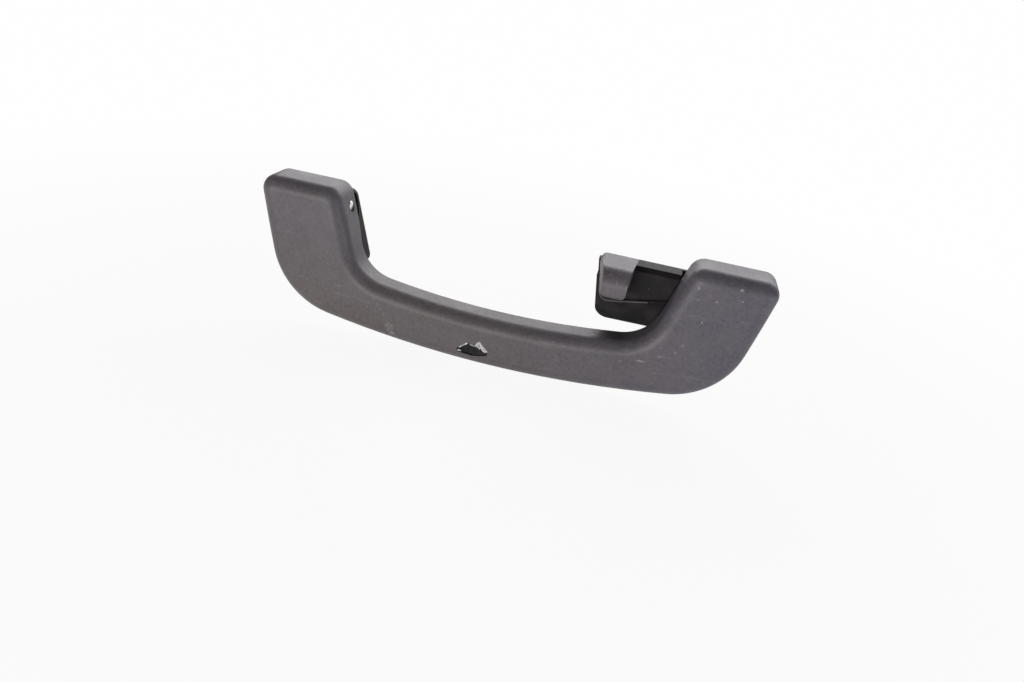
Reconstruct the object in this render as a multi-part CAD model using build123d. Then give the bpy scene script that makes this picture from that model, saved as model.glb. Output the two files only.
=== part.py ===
from build123d import *
import math
import os

os.makedirs("parts", exist_ok=True)

# Fixing holes and hinge line
hole_bore = 6.5
pin_above_hole = 15.0
pin_from_wall = 14.0
pin_diameter = 5.0
pin_running_gap = 0.05
swing_gap = 0.4

# Handle outline, seen from the front
handle_length = 241.0
handle_height = 70.5
arm_above_pin = 10.0
arm_width = 38.5
outer_splay = 0.223
inner_splay = 0.288
outer_bow = 0.5
inner_bow = 0.8
bottom_bow_radius = 498.0
grip_bow_radius = 415.0
grip_height = 24.5
knee_radius = 36.0
crook_radius = 20.0
arm_outer_corner = 6.6
arm_inner_corner = 7.0

# Handle depth
arm_depth = 21.0
arm_off_wall = 6.5
back_lean = 0.107
front_round = 6.0
back_bevel = 1.6
shell = 3.2
pocket_height = 30.0
pocket_corner = 3.0

# Hinge brackets
plate_thick = 6.0
plate_inset = 3.2
plate_inner_inset = 1.6
plate_below_arm_top = 5.5
plate_height = 36.0
plate_corner = 4.0
knuckle_radius = 6.0
ear_width = 5.0
ear_span = 12.8
ear_clearance = 0.552
ear_reach = 18.5
ear_heel = 12.0
ear_taper = 1.0
ear_foot_height = 8.7
ear_rooted = 0.2

# Tray of the right bracket
tray_length = 42.7
tray_depth = 12.5
tray_below_arm_top = 9.8
tray_height = 30.1
tray_bevel_height = 9.5
tray_bevel_rise = 0.196
tray_bevel_slope = 1.94
tray_top_bevel = 2.0
tray_under_lean = 8.0
tray_end_lean = 4.2
tray_end_rise = 1.0
tray_end_round = 7.0
tray_end_bevel = 1.8
tray_lip = 0.9
tray_sink = 1.5
core_wall = 2.2

# Coat hook
hook_width = 18.6
hook_left_draft = 0.19
hook_right_draft = 0.1
hook_depth = 25.0
hook_height = 12.6
hook_cap = 2.0
hook_wall = 4.5
hook_root_height = 7.8
hook_nose = 4.0
hook_bend = 8.0
hook_round = 2.5
hook_tip_round = 1.6
hook_tip_corner = 5.0
hook_tip_left = 5.2
hook_tip_right = 3.2
hook_screw_diameter = 3.0
hook_screw_head = 5.4
hook_screw_head_height = 1.8
hook_screw_sunk = 0.3
hook_screw_drop = 5.0
hook_screw_length = 8.0
hook_screw_drive = 1.35
hook_screw_drive_depth = 1.1
screw_gap = 0.2

# Small pieces
sleeve_wall = 1.35
stop_head = 5.6
stop_stem = 3.0
stop_stem_length = 3.0
stop_gap = 0.3
stop_spacing = 16.0
stop_above_plate_end = 4.5
spring_wire = 1.6
spring_mean_radius = 4.2
spring_pitch = 1.76
spring_turns = 4
spring_last_turn = 300.0
spring_leg_angle = 30.0
spring_turn_bends = 12
wire_sides = 6
damper_wall = 1.5
damper_grease_gap = 0.3
damper_rotor_wall = 0.9
damper_end_gap = 0.15
damper_flat = 5.5
saddle_thick = 3.0
saddle_width = 7.8

# Chip knocked out of the front of the grip, just above its lower edge
chip_from_middle = 8.5
chip_above_bottom = 8.4
chip_length = 14.4
chip_height = 6.2
chip_depth = 1.2
chip_tilt = 10.0
chip_shape = [
    (-1.0, -0.05),
    (-0.75, 0.2),
    (-0.25, 0.52),
    (-0.12, 0.25),
    (0.1, 0.3),
    (0.35, 0.5),
    (0.7, 0.2),
    (1.0, -0.2),
    (0.5, -0.42),
    (0.0, -0.5),
    (-0.6, -0.35),
]

# How far cuts run past the piece, and how close two points count as one
over = 1.0
same_point = 0.01

# Positions worked out from the sizes above
half_length = handle_length / 2
half_spread = half_length - arm_width
far = handle_length
pin_y = -pin_from_wall
pin_z = pin_above_hole
pin_r = pin_diameter / 2
top_z = pin_z + arm_above_pin
bottom_z = top_z - handle_height
grip_top_z = bottom_z + grip_height
back_y = -arm_off_wall
front_y = back_y - arm_depth
pocket_low_z = top_z - pocket_height
plate_top_z = top_z - plate_below_arm_top
plate_low_z = plate_top_z - plate_height
tray_top_z = top_z - tray_below_arm_top
tray_low_z = tray_top_z - tray_height
bevel_reach = math.hypot(pin_from_wall - arm_off_wall - back_bevel, arm_above_pin)
sweep_radius = bevel_reach + swing_gap


def outer_x(z):
    """Half width of the arms' outer edge at a height."""
    return half_length - outer_splay * (top_z - z)


def inner_x(z):
    """Half width of the arms' inner edge at a height."""
    return half_spread - inner_splay * (top_z - z)


def back_at(z):
    """Depth of the handle's leaning back face at a height."""
    return back_y - back_lean * (top_z - z)


def edge_meets_bow(x_top, splay, low_z, radius):
    """Point where a splayed edge runs into a bowed edge."""
    centre_z = low_z + radius
    base = x_top - splay * (top_z - centre_z)
    a = 1 + splay * splay
    b = splay * base
    c = base * base - radius * radius
    rise = (-b - math.sqrt(b * b - a * c)) / a
    return base + splay * rise, centre_z + rise


def prism_x(points, x0, x1):
    """Solid with a side-view outline, running from one X to another."""
    face = make_face(Polyline([(y, z) for y, z in points], close=True))
    return extrude(Plane(origin=(x0, 0, 0), x_dir=(0, 1, 0), z_dir=(1, 0, 0)) * face, x1 - x0)


def prism_y(points, y0, y1, corner=0.0):
    """Solid with a front-view outline, running from one depth to another."""
    face = make_face(Polyline(points, close=True))
    if corner > 0:
        face = fillet(face.vertices(), corner)
    return extrude(Plane.XZ.offset(-y0) * face, y0 - y1)


def square_y(x, z, width, y0, y1):
    """Square bar along Y, from one depth forward to another."""
    west, east = x - width / 2, x + width / 2
    low, high = z - width / 2, z + width / 2
    return prism_y([(west, low), (east, low), (east, high), (west, high)], y0, y1)


def upright(points):
    """Tall solid with a plan outline."""
    return extrude(Plane.XY.offset(-far) * make_face(Polyline(points, close=True)), 2 * far)


def rod_x(x0, x1, radius, y=pin_y, z=pin_z):
    """Round bar along X."""
    plane = Plane(origin=(x0, y, z), x_dir=(0, 1, 0), z_dir=(1, 0, 0))
    return extrude(plane * Circle(radius), x1 - x0)


def rod_y(x, z, y0, y1, radius):
    """Round bar along Y, from one depth forward to another."""
    plane = Plane(origin=(x, y0, z), x_dir=(1, 0, 0), z_dir=(0, -1, 0))
    return extrude(plane * Circle(radius), y0 - y1)


def other_side(piece):
    """The same piece on the left."""
    return mirror(piece, about=Plane.YZ)


# Ears and fixing holes, set from the inner wall of the hollow arms
ear_in = inner_x(pin_z + knuckle_radius) + shell + ear_clearance
hole_x = ear_in + ear_width + ear_span / 2
ear_out = hole_x + ear_span / 2 + ear_width

# Front outline of the handle
knee_x, knee_z = edge_meets_bow(half_length, outer_splay, bottom_z, bottom_bow_radius)
crook_x, crook_z = edge_meets_bow(half_spread, inner_splay, grip_top_z, grip_bow_radius)
side_mid = ((half_length + knee_x) / 2 + outer_bow, (top_z + knee_z) / 2)
gap_mid = ((half_spread + crook_x) / 2 - inner_bow, (top_z + crook_z) / 2)
outline = make_face(
    [
        ThreePointArc((-knee_x, knee_z), (0, bottom_z), (knee_x, knee_z)),
        ThreePointArc((knee_x, knee_z), side_mid, (half_length, top_z)),
        Line((half_length, top_z), (half_spread, top_z)),
        ThreePointArc((half_spread, top_z), gap_mid, (crook_x, crook_z)),
        ThreePointArc((crook_x, crook_z), (0, grip_top_z), (-crook_x, crook_z)),
        ThreePointArc((-crook_x, crook_z), (-gap_mid[0], gap_mid[1]), (-half_spread, top_z)),
        Line((-half_spread, top_z), (-half_length, top_z)),
        ThreePointArc((-half_length, top_z), (-side_mid[0], side_mid[1]), (-knee_x, knee_z)),
    ]
)


def corners(face, x, z):
    """The outline's two corners at a half width and height."""
    return [v for v in face.vertices() if math.hypot(abs(v.X) - x, v.Y - z) < same_point]


outline = fillet(corners(outline, knee_x, knee_z), knee_radius)
outline = fillet(corners(outline, crook_x, crook_z), crook_radius)
outline = fillet(corners(outline, half_length, top_z), arm_outer_corner)
outline = fillet(corners(outline, half_spread, top_z), arm_inner_corner)

# Handle moulding: block, leaning back face, rounded front edges, bevelled back edges
handle = extrude(Plane.XZ.offset(arm_off_wall) * outline, arm_depth)
low_z = bottom_z - over
handle -= prism_x([(back_y, top_z), (back_at(low_z), low_z), (over, low_z), (over, top_z)], -far, far)
front_face = handle.faces().sort_by(Axis.Y)[0]
handle = fillet(front_face.edges(), front_round)
back_face = handle.faces().filter_by(GeomType.PLANE).sort_by(Axis.Y)[-1]
handle = chamfer(back_face.edges(), back_bevel)

# Hollow hinge ends, open at the back, with pin holes in both cheeks
pocket_top_z = top_z - shell
pocket = prism_y(
    [
        (inner_x(pocket_top_z) + shell, pocket_top_z),
        (outer_x(pocket_top_z) - shell, pocket_top_z),
        (outer_x(pocket_low_z) - shell, pocket_low_z),
        (inner_x(pocket_low_z) + shell, pocket_low_z),
    ],
    0,
    front_y + shell,
    pocket_corner,
)
cheek_in = inner_x(pin_z) - inner_bow / 2
cheek_out = outer_x(pin_z) - shell / 2
pin_bore = rod_x(cheek_in - shell, cheek_out, pin_r)
handle -= [pocket, pin_bore, other_side(pocket), other_side(pin_bore)]

# Chip in the front of the grip
chip_out = (0, -math.cos(math.radians(chip_tilt)), -math.sin(math.radians(chip_tilt)))
chip_middle = (-chip_from_middle, front_y, bottom_z + chip_above_bottom)
chip_plane = Plane(origin=chip_middle, x_dir=(1, 0, 0), z_dir=chip_out)
chip_outline = [(u * chip_length / 2, v * chip_height) for u, v in chip_shape]
chip_face = make_face(Polyline(chip_outline, close=True))
handle -= extrude(chip_plane.offset(-chip_depth) * chip_face, chip_depth + over)

# Room that the swinging arm needs, as a front outline and a bar round the hinge
arm_room_face = Pos(-swing_gap, swing_gap) * outline
arm_room = extrude(Plane.XZ.offset(plate_thick) * arm_room_face, 2 * arm_depth)
sweep_bar = rod_x(inner_x(pin_z) - swing_gap - inner_bow, far, sweep_radius)

# Hinge bracket: base plate with two ears that reach into the hollow arm
plate = prism_y(
    [
        (inner_x(plate_top_z) + plate_inner_inset, plate_top_z),
        (outer_x(plate_top_z) - plate_inset, plate_top_z),
        (outer_x(plate_low_z) - plate_inset, plate_low_z),
        (inner_x(plate_low_z) + plate_inner_inset, plate_low_z),
    ],
    0,
    -plate_thick,
    plate_corner,
)
foot_y = pin_from_wall - plate_thick + ear_rooted
knuckle_side = knuckle_radius * math.sqrt(0.5)
ear_side = [
    (-knuckle_radius, 0),
    (ear_taper - knuckle_radius, -ear_heel),
    (foot_y, -ear_reach),
    (foot_y, ear_foot_height - ear_reach),
    (knuckle_side, -knuckle_side),
    (0, 0),
]
ear_outline = [(pin_y + y, pin_z + z) for y, z in ear_side]
ears = []
for ear_start in (ear_in, ear_out - ear_width):
    ear_end = ear_start + ear_width
    ears.append(prism_x(ear_outline, ear_start, ear_end))
    ears.append(rod_x(ear_start, ear_end, knuckle_radius))
knuckle_bore = rod_x(0, far, pin_r + pin_running_gap)
sleeve_r = hole_bore / 2 + sleeve_wall
sleeve_hole = rod_y(hole_x, 0, over, -plate_thick - over, sleeve_r)
stop_z = plate_low_z + stop_above_plate_end
stop_places = [hole_x - stop_spacing / 2, hole_x + stop_spacing / 2]
stop_back = stop_stem_length - plate_thick
stop_holes = [square_y(x, stop_z, stop_stem, stop_back, -plate_thick - over) for x in stop_places]

plain_bracket = (plate - sweep_bar) + ears - [knuckle_bore, sleeve_hole] - stop_holes
left_hinge_bracket = other_side(plain_bracket)

# Right bracket: the plate runs inward as a shallow tray, bevelled below and at its end
tray_x = half_spread - tray_length
tray_right = ear_in
tray = prism_y(
    [
        (tray_x, tray_top_z),
        (tray_right, tray_top_z),
        (tray_right - tray_under_lean, tray_low_z),
        (tray_x + tray_end_lean, tray_low_z + tray_end_rise),
    ],
    0,
    -tray_depth,
)
low_corner = tray.edges().filter_by(Axis.Y).sort_by(Axis.X)[0:2].sort_by(Axis.Z)[0]
tray = fillet(low_corner, tray_end_round)
tray_front = -tray_depth
bevel_z = tray_low_z + tray_bevel_height
bevel_angle = math.degrees(math.atan(tray_bevel_rise))
end_angle = math.degrees(math.atan(tray_end_lean / tray_height))


def bevel_top(x):
    """Height of the upper edge of the tray's lower bevel."""
    return bevel_z + tray_bevel_rise * (x - tray_x)


bevel_side = [(-over, over * tray_bevel_slope), (far, -far * tray_bevel_slope), (-over, -far)]
bevel_wedge = prism_x(bevel_side, -far, far)
tray -= Pos(tray_x, tray_front, bevel_z) * Rot(0, -bevel_angle, 0) * bevel_wedge
end_wedge = [(tray_end_bevel + over, -over), (-over, tray_end_bevel + over), (-over, -over)]
end_cut = upright(end_wedge)
tray -= Pos(tray_x, tray_front, tray_top_z) * Rot(0, -end_angle, 0) * end_cut
sunk_y = tray_sink - tray_depth
sink_x = tray_x + tray_end_bevel + tray_lip
sink_low_x = sink_x + tray_end_lean
tray -= prism_y(
    [
        (sink_x, tray_top_z + over),
        (far, tray_top_z + over),
        (far, bevel_top(far) + tray_lip),
        (sink_low_x, bevel_top(sink_low_x) + tray_lip),
    ],
    sunk_y,
    tray_front - over,
    tray_end_round,
)
tray -= prism_x(
    [
        (sunk_y - over, tray_top_z - tray_top_bevel - over),
        (sunk_y + tray_top_bevel + over, tray_top_z + over),
        (sunk_y - over, tray_top_z + over),
    ],
    sink_x,
    far,
)

# Seat of the coat hook, with one slanting side
hook_right = tray_x + hook_width
hook_right_front = hook_right - hook_right_draft * hook_depth
hook_left_front = tray_x + hook_left_draft * hook_depth


hook_room = upright(
    [
        (tray_x - over, 0),
        (hook_right, 0),
        (hook_right_front, -hook_depth),
        (tray_x - over, -hook_depth),
    ]
)
hook_plan = upright(
    [
        (tray_x, 0),
        (hook_right, 0),
        (hook_right_front, -hook_depth),
        (hook_left_front, -hook_depth),
    ]
)
cap_z = tray_top_z - hook_cap
root_z = tray_top_z - hook_root_height
seat = prism_x(
    [
        (0, cap_z),
        (-hook_wall, cap_z),
        (-hook_wall, root_z),
        (-hook_depth, root_z),
        (-hook_depth, tray_top_z + over),
        (0, tray_top_z + over),
    ],
    0,
    far,
)
tray -= seat & hook_room

# Hollows in the tray's back, with a rib between them
core_front = core_wall + sunk_y
core_low_z = tray_low_z + core_wall
core_top_z = root_z - core_wall
arm_reach = inner_bow + swing_gap + core_wall
core_right = inner_x(tray_low_z) - arm_reach
core_bevel_z = bevel_top(core_right) + core_wall * math.hypot(1, tray_bevel_slope)
tray -= prism_x(
    [
        (over, core_top_z),
        (core_front, core_top_z),
        (core_front, core_bevel_z - tray_bevel_slope * (core_front - tray_front)),
        (tray_front + (core_bevel_z - core_low_z) / tray_bevel_slope, core_low_z),
        (over, core_low_z),
    ],
    tray_x + tray_end_lean + tray_end_round,
    core_right,
)
tray -= prism_x(
    [
        (over, tray_top_z - tray_top_bevel - core_wall),
        (core_front, tray_top_z - tray_top_bevel - core_wall),
        (core_front, root_z),
        (over, root_z),
    ],
    hook_right + core_wall,
    inner_x(root_z) - arm_reach,
)

# Hook screw and its holes
screw_x = tray_x + hook_width / 2
screw_z = tray_top_z - hook_screw_drop
screw_r = hook_screw_diameter / 2
screw_head_r = hook_screw_head / 2
head_in = -hook_screw_sunk
head_out = head_in - hook_screw_head_height
hook_screw = rod_y(screw_x, screw_z, head_in, head_out, screw_head_r)
hook_screw += rod_y(screw_x, screw_z, head_out, head_out - hook_screw_length, screw_r)
drive = RegularPolygon(hook_screw_drive, 6)
drive_plane = Plane(origin=(screw_x, head_in, screw_z), x_dir=(1, 0, 0), z_dir=(0, -1, 0))
hook_screw -= extrude(drive_plane * drive, hook_screw_drive_depth)
screw_well = rod_y(screw_x, screw_z, over, head_out, screw_head_r + screw_gap)
screw_way = rod_y(screw_x, screw_z, over, -hook_wall - over, screw_r + screw_gap)

saddle_top = pin_z - damper_flat
saddle = prism_x(
    [
        (pin_y - saddle_width / 2, saddle_top),
        (pin_y + saddle_width / 2, saddle_top),
        (pin_y + saddle_width / 2, saddle_top - saddle_thick),
        (pin_y - saddle_width / 2, saddle_top - saddle_thick),
    ],
    ear_in + ear_width,
    ear_out - ear_width,
)
right_hinge_bracket = (plate - sweep_bar) + (tray - arm_room - sweep_bar) + ears + saddle
right_hinge_bracket -= [knuckle_bore, sleeve_hole] + stop_holes
right_hinge_bracket = right_hinge_bracket - screw_well - screw_way

# Coat hook: cap, root and a nose that points towards the grip
tip_z = tray_top_z - hook_height
nose_y = hook_nose - hook_depth
hook_profile = make_face(
    Polyline(
        [
            (0, tray_top_z),
            (-hook_depth, tray_top_z),
            (-hook_depth, tip_z),
            (nose_y, tip_z),
            (nose_y, root_z),
            (-hook_wall, root_z),
            (-hook_wall, cap_z),
            (0, cap_z),
        ],
        close=True,
    )
)
bend = hook_profile.vertices().group_by(Axis.X)[0].sort_by(Axis.Y)[-1]
hook_profile = fillet(bend, hook_bend)
tips = hook_profile.vertices().group_by(Axis.Y)[0]
hook_profile = fillet(tips, hook_tip_round)
crotch = corners(hook_profile, -nose_y, root_z)
hook_profile = fillet(crotch, hook_round)
hook_plane = Plane(origin=(0, 0, 0), x_dir=(0, 1, 0), z_dir=(1, 0, 0))
coat_hook = extrude(hook_plane * hook_profile, far)
hook_front = make_face(
    Polyline(
        [
            (tray_x, tray_top_z),
            (hook_right, tray_top_z),
            (hook_right - hook_tip_right, tip_z),
            (tray_x + hook_tip_left, tip_z),
        ],
        close=True,
    )
)
hook_front = fillet(hook_front.vertices().group_by(Axis.Y)[0].sort_by(Axis.X)[0], hook_tip_corner)
hook_front = fillet(hook_front.vertices().group_by(Axis.Y)[0].sort_by(Axis.X)[-1], hook_round)
hook_front = fillet(hook_front.vertices().group_by(Axis.Y)[-1].sort_by(Axis.X)[0], hook_round)
coat_hook = coat_hook & extrude(Plane.XZ * hook_front, hook_depth) & hook_plan
coat_hook -= hook_screw

# Hinge pins, pressed into the handle's cheeks
right_hinge_pin = rod_x(cheek_in, cheek_out, pin_r)
left_hinge_pin = other_side(right_hinge_pin)

# Return spring round the left pin: a bent wire with two straight legs
coil_turns = spring_turns + spring_last_turn / 360
coil_length = spring_pitch * coil_turns
coil_x = hole_x - coil_length / 2
bends = round(spring_turn_bends * coil_turns)
wire_points = []
for k in range(bends + 1):
    turn = math.radians(-90 - spring_leg_angle - 360 * coil_turns * k / bends)
    wire_y = pin_y + spring_mean_radius * math.cos(turn)
    wire_z = pin_z + spring_mean_radius * math.sin(turn)
    wire_points.append((coil_x + coil_length * k / bends, wire_y, wire_z))
leg_slope = math.tan(math.radians(spring_leg_angle))
back_leg_y = -plate_thick - spring_wire / 2
front_leg_y = front_y + shell + spring_wire / 2
start_x, start_y, start_z = wire_points[0]
end_x, end_y, end_z = wire_points[-1]
wire_points.insert(0, (start_x, back_leg_y, start_z - leg_slope * (back_leg_y - start_y)))
wire_points.append((end_x, front_leg_y, end_z - leg_slope * (end_y - front_leg_y)))
wire_path = Polyline(wire_points)
wire_start = Plane(origin=wire_path @ 0, z_dir=wire_path % 0)
wire_section = wire_start * RegularPolygon(spring_wire / 2, wire_sides)
return_spring = other_side(sweep(wire_section, path=wire_path, transition=Transition.RIGHT))

# Rotary damper round the right pin
damper_x = hole_x - ear_span / 2 + damper_end_gap
damper_end_x = hole_x + ear_span / 2 - damper_end_gap
ring_x = damper_end_x - damper_wall
rotor_r = pin_r + damper_rotor_wall
damper_housing = rod_x(damper_x, ring_x, knuckle_radius)
damper_housing -= rod_x(damper_x + damper_wall, ring_x, rotor_r + damper_grease_gap)
damper_housing -= rod_x(damper_x - over, ring_x, pin_r + pin_running_gap)
damper_housing -= prism_x(
    [
        (pin_y - knuckle_radius, saddle_top),
        (pin_y + knuckle_radius, saddle_top),
        (pin_y + knuckle_radius, saddle_top - knuckle_radius),
        (pin_y - knuckle_radius, saddle_top - knuckle_radius),
    ],
    damper_x - over,
    damper_end_x,
)
damper_rotor = rod_x(damper_x + damper_wall + damper_end_gap, ring_x - damper_end_gap, rotor_r)
damper_rotor -= rod_x(0, far, pin_r)
damper_end_ring = rod_x(ring_x, damper_end_x, damper_flat) - rod_x(0, far, pin_r + pin_running_gap)

# Steel sleeves of the fixing holes
right_sleeve = rod_y(hole_x, 0, 0, -plate_thick, sleeve_r)
right_sleeve -= rod_y(hole_x, 0, over, -plate_thick - over, hole_bore / 2)
left_sleeve = other_side(right_sleeve)

# Rubber bump stops behind the arms
stop_front = back_at(stop_z + stop_head / 2) + stop_gap
stops = []
for x in stop_places:
    stem = square_y(x, stop_z, stop_stem, stop_back, -plate_thick)
    stops.append(stem + square_y(x, stop_z, stop_head, -plate_thick, stop_front))

# One file for each piece
export_step(handle, "parts/handle.step")
export_step(left_hinge_bracket, "parts/left_hinge_bracket.step")
export_step(right_hinge_bracket, "parts/right_hinge_bracket.step")
export_step(coat_hook, "parts/coat_hook.step")
export_step(hook_screw, "parts/hook_screw.step")
export_step(left_hinge_pin, "parts/left_hinge_pin.step")
export_step(right_hinge_pin, "parts/right_hinge_pin.step")
export_step(return_spring, "parts/return_spring.step")
export_step(damper_housing, "parts/damper_housing.step")
export_step(damper_rotor, "parts/damper_rotor.step")
export_step(damper_end_ring, "parts/damper_end_ring.step")
export_step(left_sleeve, "parts/left_sleeve.step")
export_step(right_sleeve, "parts/right_sleeve.step")
export_step(other_side(stops[0]), "parts/left_inner_bump_stop.step")
export_step(other_side(stops[1]), "parts/left_outer_bump_stop.step")
export_step(stops[0], "parts/right_inner_bump_stop.step")
export_step(stops[1], "parts/right_outer_bump_stop.step")
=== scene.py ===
"""Looks of a swinging roof grab handle with a coat hook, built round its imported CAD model."""

import logging
import math
from dataclasses import dataclass, field
from enum import Enum
from typing import Callable, Optional

import bpy
from mathutils import Matrix, Vector, noise


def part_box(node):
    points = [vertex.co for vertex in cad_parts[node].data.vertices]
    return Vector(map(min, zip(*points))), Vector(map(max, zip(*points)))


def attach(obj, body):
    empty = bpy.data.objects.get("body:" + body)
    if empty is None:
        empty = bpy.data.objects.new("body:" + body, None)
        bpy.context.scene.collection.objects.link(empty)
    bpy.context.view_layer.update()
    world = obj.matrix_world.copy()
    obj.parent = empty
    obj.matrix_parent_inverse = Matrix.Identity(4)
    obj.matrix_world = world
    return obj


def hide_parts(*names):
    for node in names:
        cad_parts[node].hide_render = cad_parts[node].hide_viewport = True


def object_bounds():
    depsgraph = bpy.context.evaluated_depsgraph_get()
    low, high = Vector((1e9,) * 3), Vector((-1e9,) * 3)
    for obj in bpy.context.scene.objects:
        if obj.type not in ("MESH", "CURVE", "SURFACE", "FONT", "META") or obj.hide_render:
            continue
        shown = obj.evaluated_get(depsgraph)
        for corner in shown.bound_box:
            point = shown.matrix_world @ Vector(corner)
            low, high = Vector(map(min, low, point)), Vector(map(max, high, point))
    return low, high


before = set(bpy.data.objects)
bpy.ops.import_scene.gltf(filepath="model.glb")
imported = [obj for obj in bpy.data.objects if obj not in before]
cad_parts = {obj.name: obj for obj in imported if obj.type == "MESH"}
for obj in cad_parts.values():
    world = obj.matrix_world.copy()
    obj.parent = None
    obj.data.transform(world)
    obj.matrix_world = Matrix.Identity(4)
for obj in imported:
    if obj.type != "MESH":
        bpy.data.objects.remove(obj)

LOG = logging.getLogger("roof_handle")
MM = 0.001
CAD_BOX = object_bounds()

Colour = tuple[float, float, float]
Place = tuple[float, float, float]


class Body(Enum):
    """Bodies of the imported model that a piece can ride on."""

    BASE = "base"
    SWING = "swing"


class Slot(Enum):
    """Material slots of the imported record."""

    PAINT = "soft_paint"
    BRACKET = "bracket_plastic"
    PIN = "pin_steel"
    SLEEVE = "sleeve_steel"
    SPRING = "spring_steel"
    RUBBER = "stop_rubber"
    DAMPER = "damper_plastic"


class Side(Enum):
    """The two ends of the handle, as the sign of X."""

    LEFT = -1
    RIGHT = 1


class Bench:
    """Editing steps shared by the pieces."""

    @staticmethod
    def clear() -> None:
        """Leave nothing selected."""
        bpy.ops.object.select_all(action="DESELECT")

    @staticmethod
    def take(piece: bpy.types.Object) -> None:
        """Make one object the only selected and active one."""
        Bench.clear()
        piece.select_set(True)
        bpy.context.view_layer.objects.active = piece

    @staticmethod
    def settle(piece: bpy.types.Object) -> None:
        """Put the object's place into its mesh, so that it sits unturned at the origin."""
        Bench.take(piece)
        bpy.ops.object.transform_apply(location=True, rotation=True, scale=True)

    @staticmethod
    def cad_copy(node: str, name: str) -> bpy.types.Object:
        """Copy a CAD node's mesh as a new piece, with its loose triangles merged.

        Args:
            node: Name of the CAD node.
            name: Name of the new piece.

        Returns:
            The new object, with coplanar triangles joined to larger faces.
        """
        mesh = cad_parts[node].data.copy()
        mesh.materials.clear()
        piece = bpy.data.objects.new(name, mesh)
        bpy.context.scene.collection.objects.link(piece)
        Bench.take(piece)
        bpy.ops.object.mode_set(mode="EDIT")
        bpy.ops.mesh.select_all(action="SELECT")
        bpy.ops.mesh.customdata_custom_splitnormals_clear()
        bpy.ops.mesh.remove_doubles(threshold=0.002 * MM)
        bpy.ops.mesh.dissolve_limited(angle_limit=math.radians(0.6))
        bpy.ops.object.mode_set(mode="OBJECT")
        return piece

    @staticmethod
    def polygon(name: str, points: list[Vector]) -> bpy.types.Object:
        """Flat face with the given corners, started from a circle.

        Args:
            name: Name of the new piece.
            points: Corners in order round the face.

        Returns:
            The new object, one face at the origin.
        """
        Bench.clear()
        bpy.ops.mesh.primitive_circle_add(vertices=len(points), radius=1.0, fill_type="NGON")
        piece = bpy.context.object
        piece.name = name
        for vertex, point in zip(piece.data.vertices, points):
            vertex.co = point
        return piece

    @staticmethod
    def extrude(piece: bpy.types.Object, way: Vector) -> None:
        """Extrude the whole flat face by a step and point all faces outwards."""
        Bench.take(piece)
        bpy.ops.object.mode_set(mode="EDIT")
        bpy.ops.mesh.select_all(action="SELECT")
        bpy.ops.mesh.extrude_region_move(TRANSFORM_OT_translate={"value": way})
        bpy.ops.mesh.select_all(action="SELECT")
        bpy.ops.mesh.normals_make_consistent(inside=False)
        bpy.ops.object.mode_set(mode="OBJECT")

    @staticmethod
    def bevel(
        piece: bpy.types.Object,
        test: Callable[[Vector, Vector], bool],
        offset: float,
        segments: int,
    ) -> None:
        """Round the edges whose two ends pass a test.

        Args:
            piece: Object to change.
            test: Says of an edge's two ends whether it is rounded.
            offset: Width of the rounding.
            segments: Number of faces across it.
        """
        Bench.take(piece)
        bpy.ops.object.mode_set(mode="EDIT")
        bpy.ops.mesh.select_all(action="DESELECT")
        bpy.ops.mesh.select_mode(type="EDGE")
        bpy.ops.object.mode_set(mode="OBJECT")
        vertices = piece.data.vertices
        for edge in piece.data.edges:
            edge.select = test(vertices[edge.vertices[0]].co, vertices[edge.vertices[1]].co)
        bpy.ops.object.mode_set(mode="EDIT")
        bpy.ops.mesh.bevel(offset=offset, segments=segments, profile=0.5, affect="EDGES", clamp_overlap=False)
        bpy.ops.object.mode_set(mode="OBJECT")

    @staticmethod
    def cut(piece: bpy.types.Object, tool: bpy.types.Object) -> None:
        """Take one closed shape out of another and throw the cutting shape away."""
        Bench.take(piece)
        step = piece.modifiers.new("cut", "BOOLEAN")
        step.operation = "DIFFERENCE"
        step.solver = "EXACT"
        step.object = tool
        bpy.ops.object.modifier_apply(modifier=step.name)
        bpy.data.objects.remove(tool)

    @staticmethod
    def slots(piece: bpy.types.Object, count: int) -> None:
        """Open empty material slots."""
        for _ in range(count):
            piece.data.materials.append(None)

    @staticmethod
    def wire(name: str, points: list[Vector], radius: float, sides: int = 4) -> bpy.types.Object:
        """Round wire along a path.

        Args:
            name: Name of the new piece.
            points: Middle line of the wire.
            radius: Radius of the wire.
            sides: Fineness of its section.

        Returns:
            The new object, a closed mesh at the origin.
        """
        path = bpy.data.curves.new(name, "CURVE")
        path.dimensions = "3D"
        path.bevel_depth = radius
        path.bevel_resolution = sides
        path.use_fill_caps = True
        line = path.splines.new("POLY")
        line.points.add(len(points) - 1)
        for knot, point in zip(line.points, points):
            knot.co = (*point, 1.0)
        piece = bpy.data.objects.new(name, path)
        bpy.context.scene.collection.objects.link(piece)
        Bench.take(piece)
        bpy.ops.object.convert(target="MESH")
        return bpy.context.object

    @staticmethod
    def rod(name: str, start: Place, length: float, radius: float, sides: int = 48) -> bpy.types.Object:
        """Round bar along X.

        Args:
            name: Name of the new piece.
            start: Middle of its low X end.
            length: Length along X.
            radius: Radius of the bar.
            sides: Number of faces round it.

        Returns:
            The new object, settled at the origin.
        """
        Bench.clear()
        middle = Vector(start) + Vector((length / 2, 0, 0))
        bpy.ops.mesh.primitive_cylinder_add(
            vertices=sides, radius=radius, depth=length, location=middle, rotation=(0, math.pi / 2, 0)
        )
        piece = bpy.context.object
        piece.name = name
        Bench.settle(piece)
        return piece

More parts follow.
